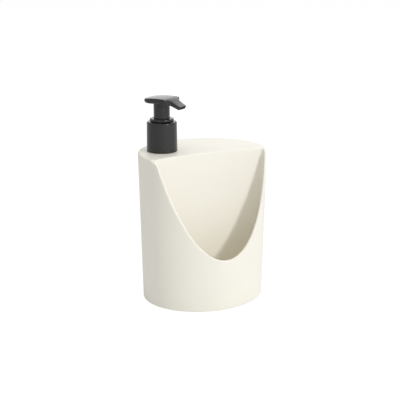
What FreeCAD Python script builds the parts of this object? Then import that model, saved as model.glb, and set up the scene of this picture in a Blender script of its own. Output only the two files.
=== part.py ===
import FreeCAD, Part
import math
import os
import re

import Sketcher
from FreeCAD import Matrix, Placement, Rotation, Vector

# Soap pump caddy: a tapered oval cup with an open sponge pocket in front, a soap reservoir behind it,
# a deck lid with a threaded neck, and a hand pump screwed on that neck.
# Frame: +Z up, origin in the middle of the foot, the pocket opens towards -Y.
# Lengths are in mm, angles in degrees.

SIZES = {
    # caddy body
    "body_height": 130.0,
    "top_width": 114.0,
    "top_depth": 100.0,
    "base_width": 108.0,
    "base_depth": 94.6,
    "wall": 2.4,
    "floor_thickness": 3.0,
    "foot_recess": 1.0,
    "foot_ring": 5.0,
    "core_round": 3.0,
    # partition between pocket and reservoir, hollow towards the pocket
    "partition_setback": 9.0,
    "partition_radius": 230.0,
    "partition_thickness": 2.4,
    "core_draft": 0.5,
    # slanted opening of the pocket
    "opening_low": 44.5,
    "shoulder_ahead": 1.45,
    "shoulder_radius": 4.5,
    "shoulder_start": 25.0,
    "rim_round": 0.8,
    # deck lid and its neck
    "deck_thickness": 2.4,
    "deck_land": 1.2,
    "deck_gap": 0.15,
    "deck_corner": 2.5,
    "skirt_depth": 4.0,
    "skirt_wall": 1.4,
    "skirt_gap": 0.3,
    "pump_left": 32.0,
    "pump_back": 14.4,
    "neck_height": 21.0,
    "neck_diameter": 21.6,
    "neck_bore": 19.0,
    # gasket and screw collar
    "gasket_thickness": 1.2,
    "gasket_gap": 0.2,
    "flange_thickness": 1.6,
    "collar_web": 2.1,
    "collar_wall": 1.3,
    "collar_foot_gap": 0.3,
    "collar_taper": 0.3,
    "collar_round": 1.5,
    "thread_room": 1.1,
    "turn_gap": 0.2,
    # pump housing
    "barrel_gap": 0.65,
    "barrel_wall": 0.95,
    "guide_depth": 13.2,
    "barrel_cone": 3.0,
    "chamber_bore": 11.2,
    "chamber_wall": 1.4,
    "chamber_length": 35.0,
    "ball_room": 5.6,
    "ball_room_bore": 5.8,
    "passage_bore": 3.2,
    "passage_length": 1.6,
    "seat_angle": 36.0,
    "socket_depth": 11.0,
    "socket_wall": 1.2,
    "press_gap": 0.02,
    # guide ring
    "bead_diameter": 20.7,
    "bead_height": 2.5,
    "bead_round": 0.9,
    "sleeve_wall": 0.8,
    "guide_web": 1.2,
    "slide_gap": 0.15,
    # stem, piston, valve pin
    "stem_diameter": 5.4,
    "stem_bore": 2.6,
    "stem_gap": 0.3,
    "stem_flange": 1.8,
    "stem_flange_diameter": 8.8,
    "stem_port": 1.4,
    "stop_gap": 0.1,
    "piston_length": 7.0,
    "piston_gap": 0.05,
    "piston_waist": 1.6,
    "piston_lip": 1.6,
    "pin_head_diameter": 8.2,
    "pin_head_thickness": 3.4,
    "pin_shank_length": 4.0,
    # ball, retainer, spring, dip tube
    "ball_diameter": 4.8,
    "ball_gap": 0.03,
    "retainer_thickness": 1.4,
    "retainer_bore": 3.4,
    "notch_width": 1.2,
    "notch_reach": 3.2,
    "spring_wire": 0.9,
    "spring_diameter": 8.2,
    "spring_end_pitch": 1.4,
    "tube_diameter": 6.2,
    "tube_wall": 0.9,
    "tube_floor_gap": 3.0,
    "tube_bevel": 45.0,
    # pump head: lengths along the spout are from the pump's axis, heights and drops from the pad's underside
    "press_travel": 12.5,
    "press_clearance": 0.8,
    "head_angle": -57.0,
    "head_skirt_wall": 1.1,
    "pad_back": 15.4,
    "pad_half_width": 9.2,
    "pad_top": 5.1,
    "pad_dome": 90.0,
    "pad_crown": 5.0,
    "pad_crease": 11.5,
    "spout_half_width": 6.6,
    "spout_root": 10.0,
    "tip_reach": 22.2,
    "tip_top": 2.4,
    "tip_half_width": 5.4,
    "tip_low_reach": 19.7,
    "tip_drop": 3.7,
    "head_round": 0.6,
    "boss_wall": 1.5,
    "boss_depth": 8.0,
    "stem_entry": 1.0,
    "channel_rise": 2.3,
    "channel_knee": 10.5,
    "channel_bore": 2.2,
    "outlet_width": 5.6,
    "outlet_height": 1.5,
    "outlet_depth": 3.0,
    # how far cutting shapes run past what they cut
    "overrun": 5.0,
}

# Counts
NOTCHES = 3
SPRING_TURNS = 6
SPRING_STEPS_PER_TURN = 4
SLOPE_STATIONS = 12
SHOULDER_STATIONS = 6
HALVINGS = 60

# Heights of the stack, from the foot upwards, as formulas in the named sizes
ROOM_FLOOR = "(foot_recess + floor_thickness)"
DECK_LOW = "(body_height - deck_thickness)"
NECK_TOP = "(body_height + neck_height)"
GASKET_TOP = f"({NECK_TOP} + gasket_thickness)"
FLANGE_TOP = f"({GASKET_TOP} + flange_thickness)"
COLLAR_TOP = f"({FLANGE_TOP} + collar_web)"
BEAD_LOW = f"({COLLAR_TOP} + turn_gap)"
BEAD_TOP = f"({BEAD_LOW} + bead_height)"
GUIDE_SEAT = f"({FLANGE_TOP} - guide_depth)"
GUIDE_FLOOR = f"({GUIDE_SEAT} + guide_web)"
LEDGE = f"({GUIDE_SEAT} - chamber_length)"
RETAINER_TOP = f"({LEDGE} + retainer_thickness)"
SEAT_LOW = f"({LEDGE} - ball_room)"
SOCKET_TOP = f"({SEAT_LOW} - passage_length)"
TAIL_LOW = f"({SOCKET_TOP} - socket_depth)"
STEM_STOP = f"({GUIDE_SEAT} - stop_gap)"
PISTON_TOP = f"({STEM_STOP} - stem_flange)"
PISTON_LOW = f"({PISTON_TOP} - piston_length)"
PIN_LOW = f"({PISTON_LOW} - pin_head_thickness)"
HEAD_LOW = f"({BEAD_TOP} + press_travel + press_clearance)"
SKIRT_LOW = f"({GUIDE_FLOOR} + press_travel + press_clearance)"
BOSS_LOW = f"({HEAD_LOW} - boss_depth)"
STEM_TOP = f"({HEAD_LOW} - stem_entry)"
TUBE_LOW = f"({ROOM_FLOOR} + tube_floor_gap)"

# Radii about the pump's axis, from the neck inwards and outwards
NECK_RADIUS = "(neck_diameter / 2)"
COLLAR_BORE_RADIUS = f"({NECK_RADIUS} + thread_room)"
COLLAR_RADIUS = f"({COLLAR_BORE_RADIUS} + collar_wall)"
BARREL_RADIUS = "(neck_bore / 2 - barrel_gap)"
SLEEVE_SEAT_RADIUS = f"({BARREL_RADIUS} - barrel_wall)"
SLEEVE_RADIUS = f"({SLEEVE_SEAT_RADIUS} - press_gap)"
SLEEVE_BORE_RADIUS = f"({SLEEVE_RADIUS} - sleeve_wall)"
HEAD_SKIRT_RADIUS = f"({SLEEVE_BORE_RADIUS} - slide_gap)"
CHAMBER_RADIUS = "(chamber_bore / 2)"
CHAMBER_OUTER_RADIUS = f"({CHAMBER_RADIUS} + chamber_wall)"
STEM_RADIUS = "(stem_diameter / 2)"
TUBE_RADIUS = "(tube_diameter / 2)"
SOCKET_RADIUS = f"({TUBE_RADIUS} + press_gap)"
TAIL_RADIUS = f"({SOCKET_RADIUS} + socket_wall)"

doc = FreeCAD.newDocument("SoapPumpCaddy")
sheet = doc.addObject("Spreadsheet::Sheet", "Sizes")


def fill_sheet():
    """Write the driving dimensions into the spreadsheet, one alias for each."""
    for row, (alias, size) in enumerate(SIZES.items(), start=1):
        sheet.set(f"A{row}", alias)
        sheet.set(f"B{row}", str(size))
        sheet.setAlias(f"B{row}", alias)
    doc.recompute()


def formula(text):
    """Return the text with every size's name pointed at the spreadsheet."""
    def cell(word):
        return f"Sizes.{word[0]}" if word[0] in SIZES else word[0]
    return re.sub(r"[a-z_]+", cell, text)


def number(text):
    """Return what a formula comes to with the spreadsheet's present values."""
    return float(sheet.evalExpression(formula(text)))


def bind(thing, **formulas):
    """Tie properties of an object to formulas; x, y and z stand for its place, turn for its angle."""
    paths = {
        "x": ".Placement.Base.x",
        "y": ".Placement.Base.y",
        "z": ".Placement.Base.z",
        "turn": ".Placement.Rotation.Angle",
    }
    for name, text in formulas.items():
        thing.setExpression(paths.get(name, name), formula(text))
    return thing


def on_pump_axis(thing):
    """Stand a piece that was made about the Z axis on the pump's axis."""
    return bind(thing, x="-pump_left", y="pump_back")


def shape_object(kind, name, axis=None, **formulas):
    """Add a Part primitive whose sizes and place are formulas, turned about the given axis if any."""
    thing = doc.addObject(kind, name)
    if axis is not None:
        thing.Placement = Placement(Vector(), Rotation(axis, 1))
    return bind(thing, **formulas)


def cut(name, base, *tools):
    """Cut one tool after another from a base; the last cut carries the name."""
    for index, tool in enumerate(tools):
        last = index == len(tools) - 1
        result = doc.addObject("Part::Cut", name if last else f"{name}_step")
        result.Base = base
        result.Tool = tool
        result.Refine = False
        base = result
    return base


def fuse(name, *pieces):
    """Join pieces into one solid."""
    result = doc.addObject("Part::MultiFuse", name)
    result.Shapes = list(pieces)
    result.Refine = False
    return result


def common(name, *pieces):
    """Keep what all the pieces share."""
    result = doc.addObject("Part::MultiCommon", name)
    result.Shapes = list(pieces)
    result.Refine = False
    return result


def round_edges(name, base, radius_name, wanted):
    """Round the edges of a piece that the wanted test picks, by a named radius."""
    doc.recompute()
    radius = number(radius_name)
    result = doc.addObject("Part::Fillet", name)
    result.Base = base
    picks = [i for i, edge in enumerate(base.Shape.Edges, start=1) if wanted(edge)]
    result.Edges = [(i, radius, radius) for i in picks]
    return result


def origin_plane(body, role):
    """Return one of a body's own origin planes."""
    return next(plane for plane in body.Origin.OriginFeatures if plane.Role == role)


def place_point(sketch, geometry, position, x, y):
    """Fix one point of a sketch by formulas for its two coordinates."""
    for kind, text, axis in (("DistanceX", x, -2), ("DistanceY", y, -1)):
        if text == "0":
            sketch.addConstraint(Sketcher.Constraint("PointOnObject", geometry, position, axis))
            continue
        datum = Sketcher.Constraint(kind, -1, 1, geometry, position, number(text))
        index = sketch.addConstraint(datum)
        sketch.setExpression(f"Constraints[{index}]", formula(text))


def outline(body, name, plane, corners, arcs=None):
    """Draw a closed outline on a body's plane.

    corners are pairs of formulas. arcs maps a corner's index to (radius, centre x, centre y) where the side
    that starts there is an arc.
    """
    arcs = arcs or {}
    sketch = body.newObject("Sketcher::SketchObject", name)
    sketch.AttachmentSupport = [(origin_plane(body, plane), "")]
    sketch.MapMode = "FlatFace"
    points = [Vector(number(x), number(y), 0) for x, y in corners]
    sides = []
    for index, start in enumerate(points):
        end = points[(index + 1) % len(points)]
        if index not in arcs:
            sides.append((sketch.addGeometry(Part.LineSegment(start, end), False), 1, 2))
            continue
        radius, centre_x, centre_y = arcs[index]
        centre = Vector(number(centre_x), number(centre_y), 0)
        counter_clockwise = (start - centre).cross(end - centre).z > 0
        first, second = (start, end) if counter_clockwise else (end, start)
        angles = [math.atan2(p.y - centre.y, p.x - centre.x) for p in (first, second)]
        circle = Part.Circle(centre, Vector(0, 0, 1), number(radius))
        arc = sketch.addGeometry(Part.ArcOfCircle(circle, *angles), False)
        sides.append((arc, 1, 2) if counter_clockwise else (arc, 2, 1))
        index = sketch.addConstraint(Sketcher.Constraint("Radius", arc, number(radius)))
        sketch.setExpression(f"Constraints[{index}]", formula(radius))
    for index, (side, _, end) in enumerate(sides):
        following, start, _ = sides[(index + 1) % len(sides)]
        sketch.addConstraint(Sketcher.Constraint("Coincident", side, end, following, start))
    for (side, start, _), (x, y) in zip(sides, corners):
        place_point(sketch, side, start, x, y)
    return sketch


def turned(name, corners):
    """Make a body of revolution about Z from (radius, height) corners."""
    body = doc.addObject("PartDesign::Body", name)
    sketch = outline(body, f"{name}_profile", "XZ_Plane", corners)
    spin = body.newObject("PartDesign::Revolution", f"{name}_turning")
    spin.Profile = sketch
    spin.ReferenceAxis = (sketch, ["V_Axis"])
    spin.Angle = 360
    return body


def padded(name, plane, corners, thickness, arcs=None):
    """Make a body by padding an outline evenly to both sides of its plane."""
    body = doc.addObject("PartDesign::Body", name)
    sketch = outline(body, f"{name}_outline", plane, corners, arcs)
    pad = body.newObject("PartDesign::Pad", f"{name}_pad")
    pad.Profile = sketch
    pad.SideType = "Symmetric"
    bind(pad, Length=thickness)
    return body


def round_body(body, radius_name, wanted):
    """Round the edges of a body's tip that the wanted test picks, by a named radius."""
    doc.recompute()
    tip = body.Tip
    picks = [f"Edge{i}" for i, edge in enumerate(tip.Shape.Edges, start=1) if wanted(edge)]
    fillet = body.newObject("PartDesign::Fillet", f"{body.Name}_rounding")
    fillet.Base = (tip, picks)
    bind(fillet, Radius=radius_name)
    return body


def is_circle_at(radius, height):
    """Return a test for level circular edges of a radius at a height, both as formulas."""
    def test(edge):
        curve = edge.Curve
        if not isinstance(curve, Part.Circle):
            return False
        same_radius = math.isclose(curve.Radius, number(radius), abs_tol=1e-6)
        return same_radius and math.isclose(curve.Center.z, number(height), abs_tol=1e-6)
    return test


# Caddy body

def half_width(level):
    """Return the formula for the outer oval's half width at a level."""
    return f"(base_width / 2 + (top_width - base_width) / 2 * ({level}) / body_height)"


def half_depth(level):
    """Return the formula for the outer oval's half depth at a level."""
    return f"(base_depth / 2 + (top_depth - base_depth) / 2 * ({level}) / body_height)"


def oval(name, inset, level):
    """Draw the caddy's oval at a level, moved inwards by an inset.

    It is a circle stretched both ways, because an ellipse would start at its longer axis and twist a loft.
    """
    stretch = Matrix()
    stretch.scale(number(f"{half_width(level)} - ({inset})"), number(f"{half_depth(level)} - ({inset})"), 1)
    stretch.move(Vector(0, 0, number(level)))
    ring = doc.addObject("Part::Feature", name)
    ring.Shape = Part.Wire(Part.makeCircle(1).transformGeometry(stretch).Edges)
    return ring


def tapered_oval(name, inset, low, high):
    """Make the solid between two of the caddy's ovals."""
    block = doc.addObject("Part::Loft", name)
    block.Sections = [oval(f"{name}_low", inset, low), oval(f"{name}_high", inset, high)]
    block.Solid = True
    block.Ruled = True
    return block


def in_front(name, growth, draft="0"):
    """Make the round block in front of the partition, grown towards the back by a formula.

    The draft, an angle, makes the block narrower towards the foot.
    """
    return shape_object(
        "Part::Cone",
        name,
        Radius1=f"partition_radius + ({growth}) - (body_height + overrun) * tan({draft})",
        Radius2=f"partition_radius + ({growth}) + overrun * tan({draft})",
        Height="body_height + 2 * overrun",
        y="-(partition_setback + partition_radius)",
        z="-overrun",
    )


def halve(low, high, is_low):
    """Return where a test turns from true to false between two values."""
    for _ in range(HALVINGS):
        middle = (low + high) / 2
        low, high = (middle, high) if is_low(middle) else (low, middle)
    return low


def partition_corner_depth():
    """Return the depth at which the partition's front meets the wall's inside at the top."""
    radius = number("partition_radius")
    across = number(f"{half_width('body_height')} - wall")
    deep = number(f"{half_depth('body_height')} - wall")

    def depth(x):
        return math.sqrt(radius * radius - x * x) - radius - number("partition_setback")

    return depth(halve(0, across, lambda x: math.hypot(x / across, depth(x) / deep) < 1))


def opening_stations():
    """Return (angle from the front, level) along the opening's edge, from the middle up to one shoulder.

    The edge lies on the outer wall, in a plane that leans back, and ends in the shoulder's arc. The plane
    leans so that the shoulder ends just ahead of the partition.
    """
    low = number("opening_low")
    radius = number("shoulder_radius")
    front = -number(half_depth("opening_low"))
    base = number(half_depth("0"))
    growth = (number(half_depth("body_height")) - base) / number("body_height")
    centre_z = number("body_height - shoulder_radius * cos(shoulder_start)")
    shoulder = partition_corner_depth() - number("shoulder_ahead")
    centre_y = shoulder + number("shoulder_radius * sin(shoulder_start)")

    def is_too_steep(lean):
        return front + (radius + (centre_z - low) * math.sin(lean)) / math.cos(lean) < centre_y

    lean = halve(0, math.pi / 2, is_too_steep)

    def angle_at(depth, level):
        return math.acos(-depth / (base + growth * level))

    def slope_level(angle):
        rise = low * math.tan(lean) - front - base * math.cos(angle)
        return rise / (math.tan(lean) + growth * math.cos(angle))

    bend = angle_at(centre_y - radius * math.cos(lean), centre_z + radius * math.sin(lean))
    angles = [bend * step / SLOPE_STATIONS for step in range(SLOPE_STATIONS)]
    stations = [(angle, slope_level(angle)) for angle in angles]
    last = math.radians(90 - number("shoulder_start") / 2)
    for step in range(SHOULDER_STATIONS + 1):
        swing = lean + (last - lean) * step / SHOULDER_STATIONS
        level = centre_z + radius * math.sin(swing)
        stations.append((angle_at(centre_y - radius * math.cos(swing), level), level))
    return stations


def front_opening():
    """Make the cutter of the pocket's opening, square to the wall so that the rim is as thick as the wall.

    It reaches past the wall on both sides, lower down by as much more as the wall drifts up to the top.
    """
    upward = opening_stations()
    mirrored = [(-angle, level) for angle, level in reversed(upward[1:])]
    drift = max(abs(number("top_width - base_width")), abs(number("top_depth - base_depth"))) / 2
    edges = []
    for side, reach in ((-1, "overrun"), (1, "wall + core_round")):
        points = []
        for angle, level in mirrored + upward:
            inset = side * (number(reach) + drift * (1 - level / number("body_height")))
            across = number(half_width(str(level))) - inset
            deep = number(half_depth(str(level))) - inset
            points.append(Vector(across * math.sin(angle), -deep * math.cos(angle), level))
        curve = Part.BSplineCurve()
        steps = [index / (len(points) - 1) for index in range(len(points))]
        curve.interpolate(Points=points, Parameters=steps)
        edges.append(curve.toShape())
    rim = doc.addObject("Part::Feature", "opening_rim")
    rim.Shape = Part.makeRuledSurface(*edges)
    opening = doc.addObject("Part::Extrusion", "front_opening")
    opening.Base = rim
    opening.DirMode = "Custom"
    opening.Dir = Vector(0, 0, 1)
    opening.Solid = True
    return bind(opening, LengthFwd="body_height")


def caddy_body():
    """Make the cup with its partition, floor, foot and opening."""
    room_top = "body_height + overrun"
    outer = tapered_oval("body_outer", "0", "0", "body_height")
    room = tapered_oval("body_room", "wall", ROOM_FLOOR, room_top)
    pocket = common("pocket_core", room, in_front("pocket_front", "0", "core_draft"))
    reservoir = cut("reservoir_core", room, in_front("partition_back", "partition_thickness", "-core_draft"))
    recess_block = tapered_oval("deck_recess_block", "deck_land", DECK_LOW, room_top)
    recess_front = in_front("deck_recess_front", "deck_land")
    recess = round_edges("deck_recess", cut("deck_recess_sharp", recess_block, recess_front), "deck_corner", is_corner)
    foot = tapered_oval("foot_hollow", "foot_ring", "-overrun", "foot_recess")
    cores = [round_edges(f"{core.Name}_round", core, "core_round", below_rim) for core in (pocket, reservoir)]
    cup = cut("cup", outer, *cores, recess, front_opening(), foot)
    return round_edges("caddy_body", cup, "rim_round", is_mouth_edge)


def below_rim(edge):
    """Tell whether an edge of a core runs along the floor or up from it."""
    return edge.BoundBox.ZMin < number(ROOM_FLOOR) + number("rim_round")


def is_corner(edge):
    """Tell whether an edge stands in one of the two front corners of the deck."""
    box = edge.BoundBox
    return box.ZLength > max(box.XLength, box.YLength) and box.YMax < 0


def is_mouth_edge(edge):
    """Tell whether an edge is the top front edge of the partition."""
    middle = edge.valueAt((edge.FirstParameter + edge.LastParameter) / 2)
    if not math.isclose(middle.z, number("body_height"), abs_tol=1e-3):
        return False
    across = number(half_width("body_height"))
    deep = number(half_depth("body_height"))
    reach = math.hypot(middle.x / (across - number("wall")), middle.y / (deep - number("wall")))
    from_hollow = math.hypot(middle.x, middle.y + number("partition_setback + partition_radius"))
    return from_hollow < number("partition_radius") + 1e-3 and reach < 1 - 1e-3


def deck_lid():
    """Make the lid that closes the reservoir, with the skirt under it and the neck for the pump."""
    plate_block = tapered_oval("deck_block", "deck_land + deck_gap", DECK_LOW, "body_height")
    plate_front = in_front("deck_front", "deck_land + deck_gap")
    plate_radius = "deck_corner - deck_gap"
    plate = round_edges("deck_plate", cut("deck_plate_sharp", plate_block, plate_front), plate_radius, is_corner)
    skirt_low = f"{DECK_LOW} - skirt_depth"
    skirt_inset = "wall + skirt_gap"
    skirt_front = "partition_thickness + 2 * skirt_gap"
    skirt_sharp = cut(
        "skirt_outside_sharp",
        tapered_oval("skirt_block", skirt_inset, skirt_low, DECK_LOW),
        in_front("skirt_front", skirt_front),
    )
    skirt_block = round_edges("skirt_outside", skirt_sharp, "core_round", is_corner)
    skirt_room_sharp = cut(
        "skirt_inside_sharp",
        tapered_oval("skirt_room_block", f"{skirt_inset} + skirt_wall", f"{skirt_low} - overrun", DECK_LOW),
        in_front("skirt_room_front", f"{skirt_front} + skirt_wall"),
    )
    skirt_room = round_edges("skirt_inside", skirt_room_sharp, "core_round - skirt_wall", is_corner)
    skirt = cut("deck_skirt", skirt_block, skirt_room)
    neck = shape_object(
        "Part::Cylinder", "neck", Radius=NECK_RADIUS, Height="neck_height + deck_thickness", z=DECK_LOW
    )
    bore = shape_object(
        "Part::Cylinder",
        "neck_hole",
        Radius="neck_bore / 2",
        Height="neck_height + deck_thickness + 2 * overrun",
        z=f"{DECK_LOW} - overrun",
    )
    on_pump_axis(neck)
    on_pump_axis(bore)
    return cut("deck_lid", fuse("deck_and_neck", plate, skirt, neck), bore)


# Pump, outside

def neck_gasket():
    """Make the flat seal on the neck's lip."""
    bore = f"{BARREL_RADIUS} + gasket_gap"
    return turned(
        "neck_gasket",
        [(bore, NECK_TOP), (NECK_RADIUS, NECK_TOP), (NECK_RADIUS, GASKET_TOP), (bore, GASKET_TOP)],
    )


def screw_collar():
    """Make the tall smooth collar that screws on the neck."""
    low = "body_height + collar_foot_gap"
    top = f"{COLLAR_RADIUS} - collar_taper"
    hole = f"{BARREL_RADIUS} + turn_gap"
    collar = turned(
        "screw_collar",
        [
            (COLLAR_BORE_RADIUS, low),
            (COLLAR_RADIUS, low),
            (top, COLLAR_TOP),
            (hole, COLLAR_TOP),
            (hole, FLANGE_TOP),
            (COLLAR_BORE_RADIUS, FLANGE_TOP),
        ],
    )
    return round_body(collar, "collar_round", is_circle_at(top, COLLAR_TOP))


def guide_ring():
    """Make the bead ring with the sleeve that guides the head and holds the stem in."""
    stem_hole = f"{STEM_RADIUS} + stem_gap"
    bead = "bead_diameter / 2"
    ring = turned(
        "guide_ring",
        [
            (SLEEVE_BORE_RADIUS, BEAD_TOP),
            (bead, BEAD_TOP),
            (bead, BEAD_LOW),
            (SLEEVE_RADIUS, BEAD_LOW),
            (SLEEVE_RADIUS, GUIDE_SEAT),
            (stem_hole, GUIDE_SEAT),
            (stem_hole, GUIDE_FLOOR),
            (SLEEVE_BORE_RADIUS, GUIDE_FLOOR),
        ],
    )
    top = is_circle_at(bead, BEAD_TOP)
    low = is_circle_at(bead, BEAD_LOW)
    return round_body(ring, "bead_round", lambda edge: top(edge) or low(edge))


def pump_head():
    """Make the thumb pad with its beak spout, skirt, stem boss and outlet."""
    def up(rise):
        return f"{HEAD_LOW} + {rise}"

    side = padded(
        "head_side",
        "XZ_Plane",
        [
            ("-pad_back - overrun", HEAD_LOW),
            ("-pad_back - overrun", up("pad_top")),
            ("pad_crease", up("pad_top")),
            ("tip_reach", f"{HEAD_LOW} - tip_top"),
            ("tip_low_reach", f"{HEAD_LOW} - tip_drop"),
            ("spout_root", HEAD_LOW),
        ],
        "2 * pad_half_width + 2 * overrun",
    )
    back_centre = "pad_half_width - pad_back"
    plan = padded(
        "head_plan",
        "XY_Plane",
        [
            ("tip_reach", "-tip_half_width"),
            ("tip_reach", "tip_half_width"),
            ("pad_crease", "spout_half_width"),
            ("pad_crease", "pad_half_width"),
            (back_centre, "pad_half_width"),
            ("-pad_back", "0"),
            (back_centre, "-pad_half_width"),
            ("pad_crease", "-pad_half_width"),
            ("pad_crease", "-spout_half_width"),
        ],
        f"2 * ({HEAD_LOW} + pad_top + overrun)",
        {
            4: ("pad_half_width", back_centre, "0"),
            5: ("pad_half_width", back_centre, "0"),
        },
    )
    dome = shape_object(
        "Part::Sphere",
        "head_dome",
        axis=Vector(0, 1, 0),
        Radius="pad_dome",
        x="pad_crown",
        z=up("pad_top") + " - pad_dome",
        turn="90",
    )
    pad = common("head_pad", side, plan, dome)
    soft_pad = round_edges("head_pad_round", pad, "head_round", lambda edge: True)
    skirt = shape_object(
        "Part::Cylinder",
        "head_skirt",
        Radius=HEAD_SKIRT_RADIUS,
        Height=f"{HEAD_LOW} + channel_rise - {SKIRT_LOW}",
        z=SKIRT_LOW,
    )
    boss_radius = f"{STEM_RADIUS} + boss_wall"
    skirt_bore = f"{HEAD_SKIRT_RADIUS} - head_skirt_wall"
    under = f"{SKIRT_LOW} - overrun"
    hollow = turned(
        "head_hollow",
        [
            (STEM_RADIUS, under),
            (skirt_bore, under),
            (skirt_bore, HEAD_LOW),
            (boss_radius, HEAD_LOW),
            (boss_radius, BOSS_LOW),
            (STEM_RADIUS, BOSS_LOW),
        ],
    )
    socket = shape_object(
        "Part::Cylinder",
        "stem_socket",
        Radius=f"{STEM_RADIUS} + press_gap",
        Height=f"{STEM_TOP} - ({under})",
        z=under,
    )
    riser = shape_object(
        "Part::Cylinder",
        "head_riser",
        Radius="stem_bore / 2",
        Height=up("channel_rise") + f" - ({under})",
        z=under,
    )
    channel = shape_object(
        "Part::Cylinder",
        "head_channel",
        axis=Vector(0, 1, 0),
        Radius="channel_bore / 2",
        Height="channel_knee",
        z=up("channel_rise"),
        turn="90",
    )
    middle_x = "((tip_reach + tip_low_reach) / 2)"
    middle_z = "(-(tip_top + tip_drop) / 2)"
    dip = f"atan2(channel_rise - {middle_z}; {middle_x} - channel_knee)"
    nozzle = shape_object(
        "Part::Cylinder",
        "head_nozzle",
        axis=Vector(0, 1, 0),
        Radius="channel_bore / 2",
        Height=f"hypot({middle_x} - channel_knee; channel_rise - {middle_z})",
        x="channel_knee",
        z=up("channel_rise"),
        turn=f"90 + {dip} / 1deg",
    )
    outlet = shape_object(
        "Part::Box",
        "head_outlet",
        axis=Vector(0, 1, 0),
        Length="outlet_depth + overrun",
        Width="outlet_width",
        Height="outlet_height",
        x=f"{middle_x} - outlet_depth * cos({dip}) - outlet_height / 2 * sin({dip})",
        y="-outlet_width / 2",
        z=f"{HEAD_LOW} + {middle_z} + outlet_depth * sin({dip}) - outlet_height / 2 * cos({dip})",
        turn=f"{dip}",
    )
    head = cut("pump_head", fuse("head_solid", soft_pad, skirt), hollow, socket, riser, channel, nozzle, outlet)
    head.Placement = Placement(Vector(), Rotation(Vector(0, 0, 1), 1))
    on_pump_axis(head)
    return bind(head, turn="head_angle")


# Pump, inside

def pump_housing():
    """Make the flange, barrel, chamber, ball seat and tail socket as one turned piece."""
    barrel_low = f"{GUIDE_SEAT} - barrel_cone"
    seat_rise = "((ball_room_bore - passage_bore) / 2 / tan(seat_angle))"
    return turned(
        "pump_housing",
        [
            (SLEEVE_SEAT_RADIUS, COLLAR_TOP),
            (BARREL_RADIUS, COLLAR_TOP),
            (BARREL_RADIUS, FLANGE_TOP),
            (NECK_RADIUS, FLANGE_TOP),
            (NECK_RADIUS, GASKET_TOP),
            (BARREL_RADIUS, GASKET_TOP),
            (BARREL_RADIUS, GUIDE_SEAT),
            (CHAMBER_OUTER_RADIUS, barrel_low),
            (CHAMBER_OUTER_RADIUS, LEDGE),
            (TAIL_RADIUS, SEAT_LOW),
            (TAIL_RADIUS, TAIL_LOW),
            (SOCKET_RADIUS, TAIL_LOW),
            (SOCKET_RADIUS, SOCKET_TOP),
            ("passage_bore / 2", SOCKET_TOP),
            ("passage_bore / 2", SEAT_LOW),
            ("ball_room_bore / 2", f"{SEAT_LOW} + {seat_rise}"),
            ("ball_room_bore / 2", LEDGE),
            (CHAMBER_RADIUS, LEDGE),
            (CHAMBER_RADIUS, GUIDE_SEAT),
            (SLEEVE_SEAT_RADIUS, GUIDE_SEAT),
        ],
    )


def stem():
    """Make the hollow rod with its stop flange and the cross port above the valve pin."""
    flange = "stem_flange_diameter / 2"
    bore = "stem_bore / 2"
    rod = turned(
        "stem_rod",
        [
            (bore, PISTON_LOW),
            (STEM_RADIUS, PISTON_LOW),
            (STEM_RADIUS, PISTON_TOP),
            (flange, PISTON_TOP),
            (flange, STEM_STOP),
            (STEM_RADIUS, STEM_STOP),
            (STEM_RADIUS, STEM_TOP),
            (bore, STEM_TOP),
        ],
    )
    port = shape_object(
        "Part::Cylinder",
        "stem_cross_port",
        axis=Vector(0, 1, 0),
        Radius="stem_port / 2",
        Height="stem_diameter + 2 * overrun",
        x="-stem_diameter / 2 - overrun",
        z=f"{PISTON_LOW} + pin_shank_length + stem_port",
        turn="90",
    )
    return cut("stem", rod, port)


def piston():
    """Make the seal with a lip at each end and a waist between them."""
    bore = f"{STEM_RADIUS} + piston_gap"
    lip = f"{CHAMBER_RADIUS} - piston_gap"
    waist = f"{CHAMBER_RADIUS} - piston_waist"
    return turned(
        "piston",
        [
            (bore, PISTON_LOW),
            (lip, PISTON_LOW),
            (lip, f"{PISTON_LOW} + piston_lip"),
            (waist, f"{PISTON_LOW} + piston_lip"),
            (waist, f"{PISTON_TOP} - piston_lip"),
            (lip, f"{PISTON_TOP} - piston_lip"),
            (lip, PISTON_TOP),
            (bore, PISTON_TOP),
        ],
    )


def valve_pin():
    """Make the pin that closes the stem's end, holds the piston up and takes the spring."""
    shank = "stem_bore / 2 - press_gap"
    head = "pin_head_diameter / 2"
    return turned(
        "valve_pin",
        [
            ("0", PIN_LOW),
            (head, PIN_LOW),
            (head, PISTON_LOW),
            (shank, PISTON_LOW),
            (shank, f"{PISTON_LOW} + pin_shank_length"),
            ("0", f"{PISTON_LOW} + pin_shank_length"),
        ],
    )


def ball_retainer():
    """Make the notched ring over the ball, which is also the spring's seat."""
    ring = shape_object(
        "Part::Cylinder",
        "retainer_ring",
        Radius=f"{CHAMBER_RADIUS} - press_gap",
        Height="retainer_thickness",
        z=LEDGE,
    )
    hole = shape_object(
        "Part::Cylinder",
        "retainer_hole",
        Radius="retainer_bore / 2",
        Height="retainer_thickness + 2 * overrun",
        z=f"{LEDGE} - overrun",
    )
    notches = []
    for index in range(NOTCHES):
        angle = f"({360 / NOTCHES * index})"
        notch = shape_object(
            "Part::Box",
            f"retainer_notch_{index + 1}",
            axis=Vector(0, 0, 1),
            Length="notch_reach",
            Width="notch_width",
            Height="retainer_thickness + 2 * overrun",
            x=f"notch_width / 2 * sin({angle})",
            y=f"-notch_width / 2 * cos({angle})",
            z=f"{LEDGE} - overrun",
            turn=angle,
        )
        notches.append(notch)
    return cut("ball_retainer", ring, hole, *notches)


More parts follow.
